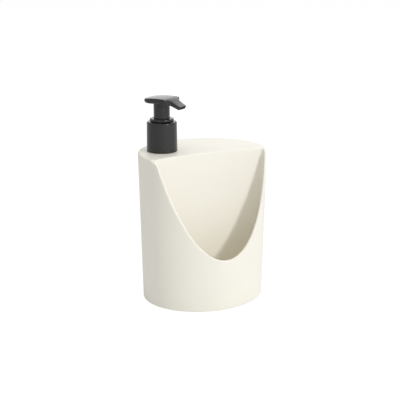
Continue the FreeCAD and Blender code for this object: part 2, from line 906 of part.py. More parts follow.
def inlet_ball():
    """Make the ball, resting just clear of its conical seat."""
    apex = f"({SEAT_LOW} - passage_bore / 2 / tan(seat_angle))"
    centre = f"{apex} + ball_diameter / 2 / sin(seat_angle) + ball_gap"
    return shape_object("Part::Sphere", "inlet_ball", Radius="ball_diameter / 2", z=centre)


def dip_tube():
    """Make the tube with its bevelled lower end."""
    tube = turned(
        "dip_tube_length",
        [
            (f"{TUBE_RADIUS} - tube_wall", TUBE_LOW),
            (TUBE_RADIUS, TUBE_LOW),
            (TUBE_RADIUS, SOCKET_TOP),
            (f"{TUBE_RADIUS} - tube_wall", SOCKET_TOP),
        ],
    )
    block = "(2 * tube_diameter)"
    bevel = shape_object(
        "Part::Box",
        "dip_tube_bevel",
        axis=Vector(0, -1, 0),
        Length=block,
        Width=block,
        Height=block,
        x=f"{block} * (sin(tube_bevel) - cos(tube_bevel) / 2)",
        y=f"-{block} / 2",
        z=f"{TUBE_LOW} + {TUBE_RADIUS} * tan(tube_bevel) - {block} * (cos(tube_bevel) + sin(tube_bevel) / 2)",
        turn="tube_bevel",
    )
    return cut("dip_tube", tube, bevel)


def biarc(start, start_way, end, end_way):
    """Return two arcs that leave start along start_way and reach end along end_way."""
    chord = end - start
    ways = start_way + end_way
    spread = 2 * (1 - start_way.dot(end_way))
    lean = chord.dot(ways)
    reach = (math.sqrt(lean * lean + spread * chord.dot(chord)) - lean) / spread
    first_knee = start + start_way * reach
    second_knee = end - end_way * reach
    joint = (first_knee + second_knee) * 0.5
    arcs = []
    for low, knee, high in ((start, first_knee, joint), (joint, second_knee, end)):
        middle = (low + high) * 0.5
        turn = (knee - low).getAngle(high - low)
        top = middle + (knee - middle) * (math.tan(turn / 2) / math.tan(turn))
        arcs.append(Part.Arc(low, top, high).toShape())
    return arcs


def return_spring():
    """Wind the spring between the retainer and the valve pin, with a close turn at each end."""
    wire = number("spring_wire")
    radius = number("spring_diameter") / 2
    low = number(RETAINER_TOP) + wire / 2
    high = number(PIN_LOW) - wire / 2
    close_pitch = number("spring_end_pitch")
    free_pitch = (high - low - 2 * close_pitch) / (SPRING_TURNS - 2)

    def rise(turns):
        """Return the height after some turns: the first and the last turn are close, the others open."""
        steady = min(max(turns - 1, 0), SPRING_TURNS - 2)
        closed = turns - steady
        return low + closed * close_pitch + steady * free_pitch

    def point(turns):
        angle = 2 * math.pi * turns
        return Vector(radius * math.cos(angle), radius * math.sin(angle), rise(turns))

    def way(turns):
        near = 1 / (4 * SPRING_STEPS_PER_TURN)
        return (point(min(turns + near, SPRING_TURNS)) - point(max(turns - near, 0))).normalize()

    count = SPRING_TURNS * SPRING_STEPS_PER_TURN
    stations = [index / SPRING_STEPS_PER_TURN for index in range(count + 1)]
    edges = []
    for first, second in zip(stations, stations[1:]):
        edges += biarc(point(first), way(first), point(second), way(second))
    start_way = edges[0].tangentAt(edges[0].FirstParameter)
    section = Part.Wire(Part.Circle(point(0), start_way, wire / 2).toShape())
    spring = doc.addObject("Part::Feature", "return_spring")
    spring.Shape = Part.Wire(edges).makePipeShell([section], True, False)
    print(f"return spring: least gap between turns {close_pitch - wire:.2f} mm")
    return spring


def build():
    """Build every sub-part and return them in order."""
    fill_sheet()
    fixed = [caddy_body(), deck_lid()]
    makers = (
        neck_gasket,
        screw_collar,
        guide_ring,
        pump_housing,
        stem,
        piston,
        valve_pin,
        ball_retainer,
        inlet_ball,
        dip_tube,
        return_spring,
    )
    pump = [on_pump_axis(make()) for make in makers]
    doc.recompute()
    return [*fixed, *pump, pump_head()]


def check(parts):
    """Stop if any object failed or any sub-part isn't one valid solid."""
    for thing in doc.Objects:
        if "Invalid" in thing.State or "Error" in thing.State:
            raise RuntimeError(f"{thing.Name} failed: {thing.State}")
    for part in parts:
        shape = part.Shape
        if shape.isNull() or not shape.isValid() or len(shape.Solids) != 1:
            raise RuntimeError(f"{part.Label} is not one valid solid")


def write(parts):
    """Write each sub-part to its own file."""
    os.makedirs("parts", exist_ok=True)
    for part in parts:
        part.Shape.exportStep(f"parts/{part.Label}.step")
        box = part.Shape.BoundBox
        print(f"{part.Label}: {part.Shape.Volume / 1000:.2f} cm3, z {box.ZMin:.2f} to {box.ZMax:.2f}")


sub_parts = build()
doc.recompute()
check(sub_parts)
write(sub_parts)
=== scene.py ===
"""Looks of the soap pump caddy.

A smooth moulded cup, a dark hand pump, soft studio light and the photo's camera.
"""

from __future__ import annotations

import logging
import math
from dataclasses import dataclass, field
from enum import Enum

import bmesh
import bpy
import numpy as np
from mathutils import Matrix, Vector

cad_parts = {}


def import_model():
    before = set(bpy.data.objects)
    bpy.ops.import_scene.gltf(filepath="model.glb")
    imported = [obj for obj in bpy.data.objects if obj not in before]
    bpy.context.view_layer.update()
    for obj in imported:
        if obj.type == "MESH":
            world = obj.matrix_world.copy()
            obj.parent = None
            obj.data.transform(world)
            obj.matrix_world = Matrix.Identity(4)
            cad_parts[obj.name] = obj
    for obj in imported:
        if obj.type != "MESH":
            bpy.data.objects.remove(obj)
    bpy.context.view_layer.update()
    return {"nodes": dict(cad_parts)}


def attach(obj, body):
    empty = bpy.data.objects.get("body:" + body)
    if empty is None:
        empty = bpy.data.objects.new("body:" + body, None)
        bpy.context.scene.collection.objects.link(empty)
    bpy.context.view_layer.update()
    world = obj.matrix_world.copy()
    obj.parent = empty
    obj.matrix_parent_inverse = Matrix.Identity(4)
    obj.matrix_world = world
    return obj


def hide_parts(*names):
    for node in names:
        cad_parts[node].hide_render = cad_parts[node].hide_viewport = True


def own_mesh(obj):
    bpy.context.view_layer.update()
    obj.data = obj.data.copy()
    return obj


LOG = logging.getLogger("soap_pump_caddy")
MM = 0.001
PUMP_AXIS = (-32.0, 14.4)
MIRROR = np.array([-1.0, 1.0, 1.0])
UP = np.array([0.0, 0.0, 1.0])
MERGE_METRES = 1e-7
HALVINGS = 60
Row = list[bmesh.types.BMVert]
Tree = bpy.types.NodeTree
Socket = bpy.types.NodeSocket


class Body(Enum):
    """The bodies of the frame that the pieces ride on."""

    CADDY = "caddy"
    CORE = "pump_core"
    COLLAR = "collar"
    HEAD = "head"


class Slot(Enum):
    """The record's material slots."""

    BODY = "body_white"
    PUMP = "pump_dark"
    NATURAL = "pump_natural"
    SOFT = "gasket_soft"
    STEEL = "steel"


# Nodes and objects


def add_node(tree: Tree, kind: str, inputs: dict[str, object] | None = None) -> bpy.types.Node:
    """Add a shader node of a kind, named without the common prefix, with values for its inputs."""
    node = tree.nodes.new(f"ShaderNode{kind}")
    for name, value in (inputs or {}).items():
        node.inputs[name].default_value = value
    return node


def add_object(name: str, data: bpy.types.ID) -> bpy.types.Object:
    """Return a new object, linked to the scene."""
    made = bpy.data.objects.new(name, data)
    bpy.context.scene.collection.objects.link(made)
    return made


# Finishes

CLOUD_DETAIL = 3.0
CLOUD_SPAN = (0.3, 0.7)
WEAR_DETAIL = 4.0
WEAR_FINENESS = 3.0
WEAR_SPAN = (0.9, 1.1)
GRAIN_DETAIL = 2.0


@dataclass(frozen=True)
class Finish:
    """A moulded or drawn surface: colour with a faint cloudiness, roughness and a fine grain.

    Attributes:
        name: Name of the material.
        colour: Linear base colour.
        roughness: Mean roughness.
        cloud: How much the colour wanders, as a share of the base colour.
        cloud_scale: Frequency of the wandering, per metre.
        grain: Height of the moulded grain in metres.
        grain_scale: Frequency of the grain, per metre.
        metallic: 1 for metal.
        transmission: Share of light that passes through it.
        streak: Stretch of the grain along Z, 1 for none.
    """

    name: str
    colour: tuple[float, float, float]
    roughness: float
    cloud: float = 0.02
    cloud_scale: float = 40.0
    grain: float = 4e-6
    grain_scale: float = 2400.0
    metallic: float = 0.0
    transmission: float = 0.0
    streak: float = 1.0

    def material(self) -> bpy.types.Material:
        """Build the material's nodes.

        Returns:
            The new material.
        """
        material = bpy.data.materials.new(self.name)
        material.use_nodes = True
        tree = material.node_tree
        shader = tree.nodes["Principled BSDF"]
        shader.inputs["Metallic"].default_value = self.metallic
        shader.inputs["Transmission Weight"].default_value = self.transmission
        tree.links.new(self._colour(tree), shader.inputs["Base Color"])
        tree.links.new(self._roughness(tree), shader.inputs["Roughness"])
        tree.links.new(self._grain(tree), shader.inputs["Normal"])
        return material

    def _noise(self, tree: Tree, scale: float, detail: float) -> Socket:
        """Return noise in object coordinates, drawn out along Z by the streak.

        Args:
            tree: The material's nodes.
            scale: Frequency per metre.
            detail: Octaves of finer noise.

        Returns:
            The noise's value.
        """
        place = add_node(tree, "TexCoord")
        mapping = add_node(tree, "Mapping", {"Scale": (1.0, 1.0, 1.0 / self.streak)})
        noise = add_node(tree, "TexNoise", {"Scale": scale, "Detail": detail})
        tree.links.new(place.outputs["Object"], mapping.inputs["Vector"])
        tree.links.new(mapping.outputs["Vector"], noise.inputs["Vector"])
        return noise.outputs["Fac"]

    def _colour(self, tree: Tree) -> Socket:
        """Return a colour that wanders a little around the base colour."""
        ramp = add_node(tree, "ValToRGB")
        tones = (1.0 - self.cloud, 1.0 + self.cloud)
        for stop, place, tone in zip(ramp.color_ramp.elements, CLOUD_SPAN, tones):
            stop.position = place
            stop.color = (*(min(channel * tone, 1.0) for channel in self.colour), 1.0)
        tree.links.new(self._noise(tree, self.cloud_scale, CLOUD_DETAIL), ramp.inputs["Fac"])
        return ramp.outputs["Color"]

    def _roughness(self, tree: Tree) -> Socket:
        """Return a roughness that wanders as handled plastic's does."""
        low, high = (self.roughness * share for share in WEAR_SPAN)
        span = add_node(tree, "MapRange", {"To Min": low, "To Max": high})
        noise = self._noise(tree, self.cloud_scale * WEAR_FINENESS, WEAR_DETAIL)
        tree.links.new(noise, span.inputs["Value"])
        return span.outputs["Result"]

    def _grain(self, tree: Tree) -> Socket:
        """Return the fine grain of the surface's mould or drawing die."""
        bump = add_node(tree, "Bump", {"Strength": 1.0, "Distance": self.grain})
        tree.links.new(self._noise(tree, self.grain_scale, GRAIN_DETAIL), bump.inputs["Height"])
        return bump.outputs["Normal"]


FINISHES: dict[Slot, Finish] = {
    Slot.BODY: Finish("warm_white_plastic", (0.87, 0.842, 0.756), 0.48, cloud=0.008),
    Slot.PUMP: Finish("charcoal_plastic", (0.0185, 0.0185, 0.019), 0.24, cloud=0.05, grain=2e-6),
    Slot.NATURAL: Finish("milky_plastic", (0.78, 0.78, 0.75), 0.3, transmission=0.35),
    Slot.SOFT: Finish("soft_seal", (0.66, 0.66, 0.63), 0.6, cloud=0.03),
    Slot.STEEL: Finish(
        "drawn_steel", (0.62, 0.63, 0.65), 0.22, cloud=0.03, metallic=1.0, grain=3e-6, streak=0.2
    ),
}


class Dresser:
    """Makes each finish once and puts it on pieces."""

    def __init__(self) -> None:
        """Start with no material made."""
        self._made: dict[Slot, bpy.types.Material] = {}

    def material(self, slot: Slot) -> bpy.types.Material:
        """Return the material of a slot, made on its first use."""
        if slot not in self._made:
            self._made[slot] = FINISHES[slot].material()
        return self._made[slot]

    def dress(self, piece: bpy.types.Object, slot: Slot) -> None:
        """Put a finish on a piece.

        Args:
            piece: A CAD node or a new piece.
            slot: The finish it gets.
        """
        piece.data.materials.clear()
        piece.data.materials.append(self.material(slot))


# Mesh tools


def smooth_piece(name: str, mesh: bmesh.types.BMesh, sharp_degrees: float = 35.0) -> bpy.types.Object:
    """Turn a bmesh into a smooth-shaded object.

    Args:
        name: Name of the object.
        mesh: The finished mesh; it is freed.
        sharp_degrees: Edges that bend by more stay crisp.

    Returns:
        The object, linked to the scene.
    """
    bmesh.ops.remove_doubles(mesh, verts=mesh.verts, dist=MERGE_METRES)
    bmesh.ops.recalc_face_normals(mesh, faces=mesh.faces)
    data = bpy.data.meshes.new(name)
    mesh.to_mesh(data)
    mesh.free()
    data.shade_smooth()
    data.set_sharp_from_angle(angle=math.radians(sharp_degrees))
    return add_object(name, data)


def join_rings(mesh: bmesh.types.BMesh, first: Row, second: Row, closed: bool = True) -> None:
    """Span a strip of faces between two rows of vertices of equal length.

    Args:
        mesh: The mesh that gets the faces.
        first: One row of vertices.
        second: The other row.
        closed: Whether the last vertex joins the first.
    """
    count = len(first)
    for index in range(count if closed else count - 1):
        after = (index + 1) % count
        corners = [first[index], first[after], second[after], second[index]]
        distinct = list(dict.fromkeys(corners))
        if len(distinct) > 2 and mesh.faces.get(distinct) is None:
            mesh.faces.new(distinct)


def fill_between(mesh: bmesh.types.BMesh, *loops: Row) -> None:
    """Fill the level face that closed rows of vertices bound, holes included.

    Args:
        mesh: The mesh that gets the faces.
        loops: Closed rows of vertices, the outer one and any holes.
    """
    edges = []
    for loop in loops:
        for first, second in zip(loop, loop[1:] + loop[:1]):
            edges.append(mesh.edges.get((first, second)) or mesh.edges.new((first, second)))
    bmesh.ops.triangle_fill(mesh, use_beauty=True, use_dissolve=False, edges=edges, normal=UP)


def ring(mesh: bmesh.types.BMesh, points: np.ndarray) -> Row:
    """Add a row of vertices, one for each point in millimetres."""
    return [mesh.verts.new(Vector(point) * MM) for point in points]


def loft(mesh: bmesh.types.BMesh, rows: list[np.ndarray] | np.ndarray, capped: bool = False) -> list[Row]:
    """Add closed rows of vertices and span faces from each row to the next.

    Args:
        mesh: The mesh that gets the faces.
        rows: Points in millimetres, the same number in each row.
        capped: Whether the first and the last row are closed by a face.

    Returns:
        The rows of vertices.
    """
    made = [ring(mesh, points) for points in rows]
    for first, second in zip(made, made[1:]):
        join_rings(mesh, first, second)
    if capped:
        mesh.faces.new(made[0])
        mesh.faces.new(made[-1])
    return made


def fan(mesh: bmesh.types.BMesh, middle: np.ndarray, loop: Row) -> None:
    """Close a loop of vertices by triangles to a middle point in millimetres."""
    hub = mesh.verts.new(Vector(middle) * MM)
    for first, second in zip(loop, loop[1:] + loop[:1]):
        mesh.faces.new((hub, first, second))


def quarter_turn(steps: int) -> np.ndarray:
    """Return the angles of a quarter turn in even steps."""
    return np.linspace(0.0, math.pi / 2, steps + 1)


def rounding(
    edge: np.ndarray, first: np.ndarray, second: np.ndarray, radius: float, steps: int
) -> list[np.ndarray]:
    """Return the rows of a rounded edge.

    Args:
        edge: Points of the sharp edge.
        first: Ways along the face where the rounding starts.
        second: Ways along the face where it ends.
        radius: Radius of the rounding.
        steps: Number of steps.

    Returns:
        Rows of points from the first face to the second.
    """
    shares = [(1 - math.sin(turn), 1 - math.cos(turn)) for turn in quarter_turn(steps)]
    return [edge + radius * (first * share[0] + second * share[1]) for share in shares]


def unit(rows: np.ndarray) -> np.ndarray:
    """Return rows of vectors at length one."""
    return rows / np.linalg.norm(rows, axis=-1, keepdims=True)


def ways_along(loop: np.ndarray) -> np.ndarray:
    """Return the way along a closed row of points at each of them."""
    return unit(np.roll(loop, -1, axis=0) - np.roll(loop, 1, axis=0))


def lengths(points: np.ndarray) -> np.ndarray:
    """Return the length along a row of points up to each of them."""
    steps = np.linalg.norm(np.diff(points, axis=0), axis=1)
    return np.concatenate(([0.0], np.cumsum(steps)))


def shaped_by(piece: bpy.types.Object, tool: bpy.types.Object, operation: str) -> None:
    """Join a closed piece with a closed tool or cut the tool out of it; the tool is used up.

    Args:
        piece: The piece that changes.
        tool: The shape that is added or cut.
        operation: The Boolean modifier's word for what is done.
    """
    step = piece.modifiers.new(operation.lower(), "BOOLEAN")
    step.operation = operation
    step.solver = "EXACT"
    step.object = tool
    made = bpy.data.meshes.new_from_object(piece.evaluated_get(bpy.context.evaluated_depsgraph_get()))
    piece.modifiers.clear()
    piece.data = made
    bpy.data.objects.remove(tool)


# Caddy cup


@dataclass
class CaddyCup:
    """The moulded cup: tapered oval wall, slanted opening with a rounded rim, pocket and reservoir wells.

    Sizes are in millimetres and angles in degrees. They are the CAD source's, but for the lean and the
    shoulder of the opening, which follow the photo more closely.
    """

    height: float = 130.0
    top_half: tuple[float, float] = (57.0, 50.0)
    base_half: tuple[float, float] = (54.0, 47.3)
    wall: float = 2.4
    floor_level: float = 4.0
    foot_recess: float = 1.0
    foot_ring: float = 5.0
    foot_round: float = 0.8
    opening_low: float = 44.5
    opening_lean: float = 19.0
    shoulder_radius: float = 5.5
    shoulder_start: float = 26.0
    shoulder_fall: float = 2.5
    shoulder_ease: float = 0.4
    rim_round: float = 0.95
    mouth_round: float = 0.85
    corner_round: float = 2.8
    well_round: float = 1.2
    partition_setback: float = 9.0
    partition_radius: float = 230.0
    partition_thickness: float = 2.4
    core_draft: float = 0.5
    deck_land: float = 1.2
    deck_thickness: float = 2.4
    deck_corner: float = 2.5
    column_pitch: float = 0.8
    wall_rows: int = 26
    round_steps: int = 6
    corner_steps: int = 10
    partition_steps: int = 96
    rim_samples: int = 40001
    level_slack: float = 1e-4
    well_lean: float = 1.0
    crisp_degrees: float = 40.0
    angles: np.ndarray = field(init=False)
    levels: np.ndarray = field(init=False)

    def __post_init__(self) -> None:
        """Place the columns evenly along the rim."""
        fine = np.linspace(-math.pi, math.pi, self.rim_samples)
        along = lengths(self.on_wall(fine, self.rim_level(fine), 0.0))
        count = 2 * int(along[-1] / self.column_pitch / 2)
        self.angles = np.interp(np.arange(count) * along[-1] / count, along, fine)
        self.levels = self.rim_level(self.angles)

    # Shape

    def halves(self, level: np.ndarray | float, inset: np.ndarray | float) -> tuple[np.ndarray, np.ndarray]:
        """Return the oval's half width and half depth at a level, moved in by an inset."""
        share = np.asarray(level) / self.height
        across = self.base_half[0] + (self.top_half[0] - self.base_half[0]) * share - inset
        deep = self.base_half[1] + (self.top_half[1] - self.base_half[1]) * share - inset
        return across, deep

    def on_wall(
        self, angle: np.ndarray, level: np.ndarray | float, inset: np.ndarray | float
    ) -> np.ndarray:
        """Return points of the wall.

        Args:
            angle: Angles from the front, positive to the right, in radians.
            level: Heights.
            inset: How far inside the outer surface.

        Returns:
            One point for each angle.
        """
        across, deep = self.halves(level, inset)
        heights = np.broadcast_to(np.asarray(level, float), np.shape(angle))
        return np.stack([across * np.sin(angle), -deep * np.cos(angle), heights], axis=-1)

    def rim_level(self, angle: np.ndarray) -> np.ndarray:
        """Return the height of the rim at angles from the front.

        The rim lies in a plane that leans back, then in the shoulder's arc and ramp, then in the level top.
        """
        lean = math.radians(self.opening_lean)
        front = -float(self.halves(self.opening_low, 0.0)[1])
        base = self.base_half[1]
        growth = (self.top_half[1] - base) / self.height
        cosine = np.cos(angle)
        reach_low = self.opening_low * math.tan(lean) - front
        slope = (reach_low - base * cosine) / (math.tan(lean) + growth * cosine)
        start = math.radians(self.shoulder_start)
        arc_top = self.height - self.shoulder_fall
        centre_z = arc_top - self.shoulder_radius * math.cos(start)
        drop = (centre_z - self.opening_low) * math.sin(lean)
        centre_y = front + (self.shoulder_radius + drop) / math.cos(lean)
        depth = -(base + growth * self.height) * cosine
        reach = np.clip((depth - centre_y) / self.shoulder_radius, -1.0, 0.0)
        arc = centre_z + self.shoulder_radius * np.sqrt(1.0 - reach**2)
        bend_y = centre_y - self.shoulder_radius * math.cos(lean)
        ramp_y = centre_y - self.shoulder_radius * math.sin(start)
        ramp = arc_top + (depth - ramp_y) * math.tan(start)
        level = np.where(depth < bend_y, slope, np.where(depth < ramp_y, arc, ramp))
        gap = np.clip(1.0 - np.abs(level - self.height) / self.shoulder_ease, 0.0, None)
        return np.minimum(level, self.height) - gap**2 * self.shoulder_ease / 4.0

    def partition_line(self, x: np.ndarray, level: float, behind: float, draft: float) -> np.ndarray:
        """Return points of an upright face of the partition.

        Args:
            x: Places across the caddy.
            level: Height of the points.
            behind: How far behind the partition's front.
            draft: Lean of the face in degrees, the well growing wider upwards where positive.

        Returns:
            One point for each place.
        """
        radius = self.partition_radius + behind - (self.height - level) * math.tan(math.radians(draft))
        y = np.sqrt(radius**2 - np.square(x)) - self.partition_setback - self.partition_radius
        return np.stack([x, y, np.full_like(x, level)], axis=-1)

    def corner(self, level: float, inset: float, behind: float, draft: float) -> np.ndarray:
        """Return the point, right of the middle, where a face of the partition meets the wall's inside."""
        across, deep = self.halves(level, inset)
        low, high = 0.0, float(across)
        for _ in range(HALVINGS):
            middle = (low + high) / 2
            y = self.partition_line(np.array([middle]), level, behind, draft)[0, 1]
            inside = (middle / across) ** 2 + (y / deep) ** 2 < 1.0
            low, high = (middle, high) if inside else (low, middle)
        return self.partition_line(np.array([low]), level, behind, draft)[0]

    def wall_angle(self, point: np.ndarray, inset: float, onward: float) -> float:
        """Return the angle from the front, some way onward along the wall's inside from a point of it."""
        across, deep = self.halves(point[2], inset)
        angle = math.atan2(point[0] / across, -point[1] / deep)
        return angle + onward / math.hypot(across * math.cos(angle), deep * math.sin(angle))

    def turn_in(
        self, leave: np.ndarray, corner: np.ndarray, reach: float, behind: float, draft: float, steps: int
    ) -> np.ndarray:
        """Return a round blend from the wall into the partition, and the partition up to its middle.

        Args:
            leave: Where the blend leaves the wall; this point is left out.
            corner: The sharp corner.
            reach: How far from the corner the blend ends.
            behind: How far behind the partition's front.
            draft: Lean of the partition's face in degrees.
            steps: Number of steps of the blend.

        Returns:
            Points from the wall to the middle.
        """
        x = np.linspace(corner[0] - reach, 0.0, self.partition_steps // 2 + 1)
        flat = self.partition_line(x, corner[2], behind, draft)
        first = unit(leave - corner)
        second = unit(flat[0] - corner)
        weight = math.sin(math.acos(float(np.clip(first @ second, -1.0, 1.0))) / 2)
        t = np.linspace(0.0, 1.0, steps + 1)[1:, None]
        parts = ((1 - t) ** 2, 2 * t * (1 - t) * weight, t**2)
        blend = (parts[0] * leave + parts[1] * corner + parts[2] * flat[0]) / sum(parts)
        return np.concatenate([blend, flat[1:]])

    def half_loop(self, front_angles: np.ndarray, level: float, spare: int) -> np.ndarray:
        """Return the right half of the pocket's outline, from the front's middle to the partition's middle.

        Args:
            front_angles: Angles of the columns on the wall, up to the corner's blend.
            level: Height of the outline.
            spare: Steps of the blend that have no column of the wall.

        Returns:
            Points of the outline.
        """
        corner = self.corner(level, self.wall, 0.0, self.core_draft)
        leave = self.on_wall(front_angles[-1:], level, self.wall)[0]
        reach = float(np.linalg.norm(leave - corner))
        wall_part = self.on_wall(front_angles, level, self.wall)
        return np.concatenate([wall_part, self.turn_in(leave, corner, reach, 0.0, self.core_draft, spare)])

    # Building

    def build(self) -> bpy.types.Object:
        """Build the cup's mesh.

        Returns:
            The cup, in place of its CAD node.
        """
        mesh = bmesh.new()
        mouth_edge, level_part = self._pocket(mesh, self._outside(mesh))
        self._reservoir(mesh, mouth_edge, level_part)
        piece = smooth_piece("caddy_cup", mesh, self.crisp_degrees)
        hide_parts("caddy_body")
        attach(piece, Body.CADDY.value)
        return piece

    def _rim_ways(self) -> tuple[np.ndarray, np.ndarray]:
        """Return, for each column, the way down along the outer wall and the way across the rim."""
        rim = self.on_wall(self.angles, self.levels, 0.0)
        along = ways_along(rim)
        across = self.on_wall(self.angles, self.levels, self.wall) - rim
        across = unit(across - along * np.sum(across * along, axis=1, keepdims=True))
        outward = np.cross(along, across)
        down = np.where(outward[:, 2:] > 0, -outward, outward)
        return down, across

    def _outside(self, mesh: bmesh.types.BMesh) -> Row:
        """Build the foot, the outer wall and the rounded outer edge of the rim.

        Args:
            mesh: The mesh that gets the faces.

        Returns:
            The row of vertices on the rim's level land.
        """
        down, across = self._rim_ways()
        rim = self.on_wall(self.angles, self.levels, 0.0)
        rows = rounding(rim, down, across, self.rim_round, self.round_steps)
        top = rows[0]
        halves = self.halves(top[:, 2], 0.0)
        column = np.arctan2(top[:, 0] / halves[0], -top[:, 1] / halves[1])
        foot = [self.on_wall(column, level, self.foot_ring) for level in (self.foot_recess, 0.0)]
        for turn in quarter_turn(self.round_steps):
            level = self.foot_round * (1 - math.cos(turn))
            foot.append(self.on_wall(column, level, self.foot_round * (1 - math.sin(turn))))
        for share in np.linspace(0.0, 1.0, self.wall_rows + 1)[1:-1]:
            level = self.foot_round + (top[:, 2] - self.foot_round) * share
            foot.append(self.on_wall(column, level, 0.0))
        made = loft(mesh, foot + rows)
        fan(mesh, self.foot_recess * UP, made[0])
        return made[-1]

    def _pocket(self, mesh: bmesh.types.BMesh, outer_edge: Row) -> tuple[Row, Row]:
        """Build the pocket's well, its rounded mouth and the land of the opening's rim.

        Args:
            mesh: The mesh that gets the faces.
            outer_edge: The rim's row of vertices from the outside.

        Returns:
            The mouth's level vertices from the right shoulder over the partition to the left one, and the
            outer edge's level vertices from the left shoulder round the back to the right one.
        """
        below = np.nonzero(self.levels < self.height - self.level_slack)[0]
        first, last = int(below[0]) - 1, int(below[-1]) + 1
        front = np.arange(first, last + 1)
        corner = self.corner(self.height, self.wall, 0.0, self.core_draft)
        blend_angle = self.wall_angle(corner, self.wall, -self.corner_round)
        on_wall = [j for j in front if abs(self.angles[j]) <= blend_angle]
        right = [j for j in front if self.angles[j] > blend_angle]
        middle = (on_wall[0] + on_wall[-1]) // 2
        right_wall = self.angles[middle : on_wall[-1] + 1]
        spare = len(right) + self.corner_steps
        loops = {}
        for level in (self.height, self.floor_level):
            half = self.half_loop(right_wall, level, spare)
            left = half[1:-1][::-1] * MIRROR
            loops[level] = np.concatenate([half, left])
        top = loops[self.height].copy()
        right_count = len(right_wall) + len(right)
        heights = np.full(len(top), self.height)
        heights[:right_count] = self.levels[middle : middle + right_count]
        heights[-(right_count - 1) :] = self.levels[middle + 1 : middle + right_count][::-1]
        wall_count = len(right_wall)
        top[:wall_count] = self.on_wall(right_wall, heights[:wall_count], self.wall)
        top[-(wall_count - 1) :] = top[1:wall_count][::-1] * MIRROR
        top[:, 2] = heights
        edge = self._well(mesh, top, loops[self.floor_level])
        outer_right = [outer_edge[middle + k] for k in range(right_count)]
        outer_left = [outer_edge[middle - k] for k in range(right_count)]
        mouth_right = edge[:right_count]
        mouth_left = [edge[0]] + edge[::-1][: right_count - 1]
        join_rings(mesh, outer_right, mouth_right, closed=False)
        join_rings(mesh, outer_left, mouth_left, closed=False)
        level_mouth = edge[right_count - 1 : len(edge) - right_count + 2]
        start = middle - right_count + 1
        end = middle + right_count - 1
        level_outer = outer_edge[end:] + outer_edge[: start + 1]
        return level_mouth, level_outer

    def _well(self, mesh: bmesh.types.BMesh, top: np.ndarray, bottom: np.ndarray) -> Row:
        """Build a well's mouth rounding, wall and floor.

        Args:
            mesh: The mesh that gets the faces.
            top: The mouth's sharp outline.
            bottom: The outline at the floor.

        Returns:
            The row of vertices around the mouth.
        """
        along = ways_along(top)
        down = np.tile(-UP, (len(top), 1))
        down = unit(down - along * np.sum(down * along, axis=1, keepdims=True))
        aside = np.cross(along, down)
        middle = bottom.mean(axis=0)
        outwards = np.sum(aside[:, :2] * (top - middle)[:, :2], axis=1, keepdims=True) > 0
        aside = np.where(outwards, aside, -aside)
        rows = rounding(top, down, aside, self.mouth_round, self.round_steps)[::-1]
        plan = ways_along(bottom)
        inwards = np.stack([-plan[:, 1], plan[:, 0], np.zeros(len(plan))], axis=1)
        towards = np.sum(inwards * (middle - bottom), axis=1, keepdims=True) > 0
        inwards = np.where(towards, inwards, -inwards)
        foot = rounding(bottom, UP, inwards, self.well_round, self.round_steps)
        shares = np.linspace(0.0, 1.0, self.wall_rows + 1)[1:-1]
        wall = [rows[-1] + (foot[0] - rows[-1]) * share for share in shares]
        made = loft(mesh, rows + wall + foot)
        fan(mesh, foot[-1].mean(axis=0), made[-1])
        return made[0]

    def _deck_outline(self, level: float, inset: float, behind: float, corner: float) -> np.ndarray:
        """Return a closed outline behind the partition.

        Args:
            level: Height of the outline.
            inset: How far inside the outer surface.
            behind: How far behind the partition's front.
            corner: Reach of the round front corners.

        Returns:
            Points from the right front corner round the back to the left, and along the front.
        """
        tip = self.corner(level, inset, behind, 0.0)
        back = np.linspace(self.wall_angle(tip, inset, corner), math.pi, len(self.angles) // 4)
        half_back = self.on_wall(back, level, inset)
        front = self.turn_in(half_back[0], tip, corner, behind, 0.0, self.corner_steps)
        half = np.concatenate([front[::-1], half_back])
        return np.concatenate([half, half[1:-1][::-1] * MIRROR])

    def _reservoir(self, mesh: bmesh.types.BMesh, mouth: Row, outer: Row) -> None:
        """Build the level land round the deck, the recess of the lid and the reservoir's well.

        Args:
            mesh: The mesh that gets the faces.
            mouth: Level vertices of the pocket's mouth, from right to left.
            outer: Level vertices of the rim, from right round the back to left.
        """
        ledge_level = self.height - self.deck_thickness
        recess = self._deck_outline(self.height, self.deck_land, self.deck_land, self.deck_corner)
        recess_top = ring(mesh, recess)
        ledge = recess.copy()
        ledge[:, 2] = ledge_level
        recess_low = ring(mesh, ledge)
        join_rings(mesh, recess_top, recess_low)
        fill_between(mesh, outer + mouth[::-1], recess_top)
        behind = self.partition_thickness
        well_top = self._deck_outline(ledge_level, self.wall, behind, self.corner_round)
        low_behind = behind + self.well_lean
        well_low = self._deck_outline(self.floor_level, self.wall, low_behind, self.corner_round)
        well_edge = self._well(mesh, well_top, well_low)
        fill_between(mesh, recess_low, well_edge)


# Pump


@dataclass
class PumpDress:
    """The pump's CAD nodes with their finishes."""

    nodes: dict[str, Slot] = field(
        default_factory=lambda: {
            "deck_lid": Slot.BODY,
            "screw_collar": Slot.PUMP,
            "guide_ring": Slot.PUMP,
            "pump_housing": Slot.NATURAL,
            "stem": Slot.NATURAL,
            "piston": Slot.SOFT,
            "valve_pin": Slot.NATURAL,
            "ball_retainer": Slot.NATURAL,
            "dip_tube": Slot.NATURAL,
            "neck_gasket": Slot.SOFT,
            "inlet_ball": Slot.STEEL,
        }
    )

    def dress(self, nodes: dict[str, bpy.types.Object], dresser: Dresser) -> None:
        """Give each CAD node its finish.

        Args:
            nodes: The frame's node objects by name.
            dresser: The maker of the finishes.
        """
        for name, slot in self.nodes.items():
            dresser.dress(nodes[name], slot)
            LOG.info("dressed %s as %s", name, slot.value)


